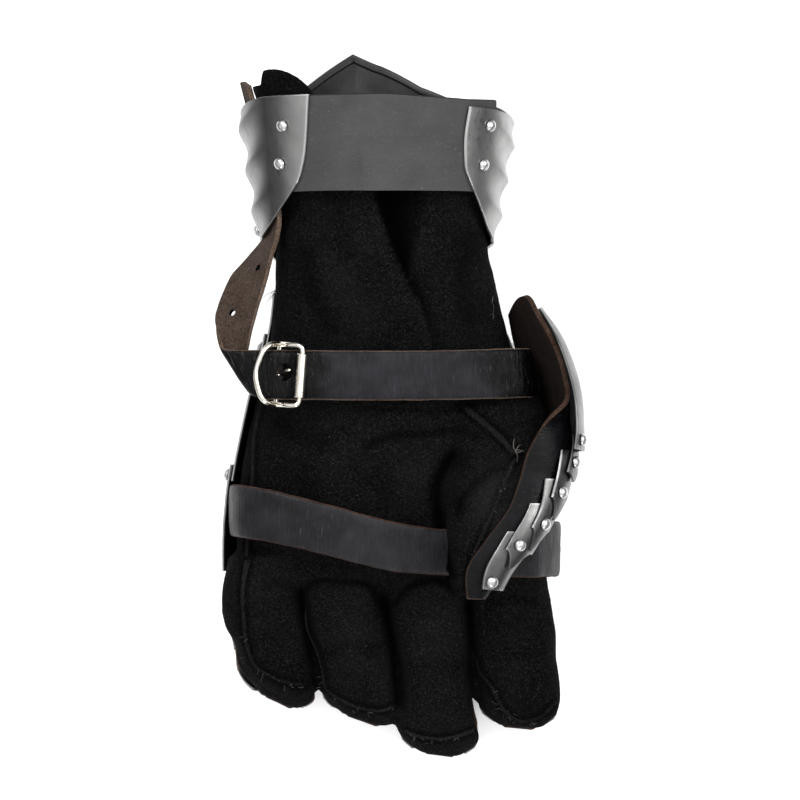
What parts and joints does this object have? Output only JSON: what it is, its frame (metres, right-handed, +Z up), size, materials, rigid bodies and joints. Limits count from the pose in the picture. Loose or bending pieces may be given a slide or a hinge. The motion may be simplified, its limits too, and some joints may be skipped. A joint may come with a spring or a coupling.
{
  "type": "armoured gauntlet",
  "caption": "Left-hand plate gauntlet lying palm up: fluted steel bell cuff, lamed thumb and fingers on leather strips, suede glove, buckled wrist strap and palm strap.",
  "frame": {"origin": "middle of the underside of the box round the whole gauntlet, on the surface it lies on", "axes": "+Z up out of the palm, +Y from the fingertips towards the cuff, +X towards the thumb side"},
  "size_m": [0.1558, 0.2968, 0.0969],
  "materials": {
    "plate_steel": "satin polished mild steel, darker in the hollows of the flutes",
    "rivet_steel": "domed, lightly hammered bright heads",
    "buckle_nickel": "polished nickel plate",
    "glove_suede": "black suede with fine pale fibres, welted seams",
    "strap_leather": "black grain side, brown flesh side and cut edges",
    "band_leather": "dull dark grey grain",
    "strip_leather": "dark brown backing leather with paler cut edges"
  },
  "bodies": {
    "root": {"buckle_chape": "strap_leather", "buckle_frame": "buckle_nickel", "buckle_prong": "buckle_nickel", "buckle_roller": "buckle_nickel", "cuff_band": "band_leather", "cuff_pivot_1": "rivet_steel", "cuff_pivot_2": "rivet_steel", "cuff_plate": "plate_steel", "cuff_rivet_1": "rivet_steel", "cuff_rivet_2": "rivet_steel", "cuff_rivet_3": "rivet_steel", "cuff_rivet_4": "rivet_steel", "glove": "glove_suede", "hand_plate": "plate_steel", "index_lame_1": "plate_steel", "index_lame_2": "plate_steel", "index_lame_3": "plate_steel", "index_strip": "strip_leather", "knuckle_plate": "plate_steel", "little_lame_1": "plate_steel", "little_lame_2": "plate_steel", "little_lame_3": "plate_steel", "little_strip": "strip_leather", "middle_lame_1": "plate_steel", "middle_lame_2": "plate_steel", "middle_lame_3": "plate_steel", "middle_strip": "strip_leather", "palm_strap": "strap_leather", "palm_strap_rivet": "rivet_steel", "plate_rivet_1": "rivet_steel", "plate_rivet_2": "rivet_steel", "plate_rivet_3": "rivet_steel", "plate_rivet_4": "rivet_steel", "ring_lame_1": "plate_steel", "ring_lame_2": "plate_steel", "ring_lame_3": "plate_steel", "ring_strip": "strip_leather", "thumb_lame_1": "plate_steel", "thumb_lame_2": "plate_steel", "thumb_lame_3": "plate_steel", "thumb_lame_4": "plate_steel", "thumb_lame_5": "plate_steel", "thumb_plate": "plate_steel", "thumb_rivet_1": "rivet_steel", "thumb_rivet_2": "rivet_steel", "thumb_rivet_3": "rivet_steel", "thumb_rivet_4": "rivet_steel", "thumb_rivet_5": "rivet_steel", "thumb_rivet_6": "rivet_steel", "thumb_strip": "strip_leather", "wrist_lame_1": "plate_steel", "wrist_lame_2": "plate_steel", "wrist_strap": "strap_leather"}
  },
  "joints": []
}
